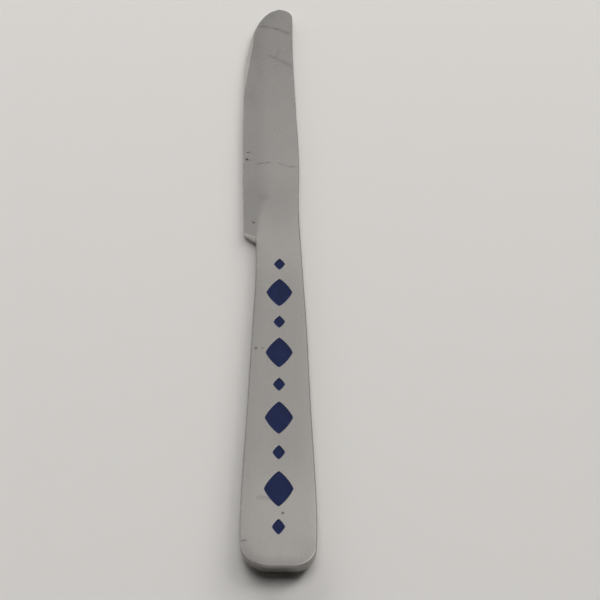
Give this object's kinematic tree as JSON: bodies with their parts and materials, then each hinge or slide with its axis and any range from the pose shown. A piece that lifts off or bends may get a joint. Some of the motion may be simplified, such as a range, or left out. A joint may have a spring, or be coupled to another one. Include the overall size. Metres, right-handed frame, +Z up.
{
  "type": "dinner knife",
  "caption": "Satin steel dinner knife: round-tipped blade with a scooped heel, brazed into a flat tapered handle with dark blue enamel lozenges set along its upper face.",
  "frame": {"origin": "centre of the knife's outline seen from above, at the height of the flat underside of the handle", "axes": "+Y from the butt end towards the blade's tip, +Z up out of the inlaid face, the cutting edge towards -X"},
  "size_m": [0.0206, 0.217, 0.0049],
  "materials": {
    "blade_steel": "satin ground stainless steel, light wear marks across the blade",
    "handle_steel": "satin polished stainless steel",
    "braze": "as brazed, hidden inside the handle",
    "enamel": "cold enamel, dark blue, slightly below the steel around it"
  },
  "bodies": {
    "root": {"blade": "blade_steel", "handle": "handle_steel", "tang_braze": "braze", "inlay_small_1": "enamel", "inlay_small_2": "enamel", "inlay_small_3": "enamel", "inlay_small_4": "enamel", "inlay_small_5": "enamel", "inlay_large_1": "enamel", "inlay_large_2": "enamel", "inlay_large_3": "enamel", "inlay_large_4": "enamel"}
  },
  "joints": []
}
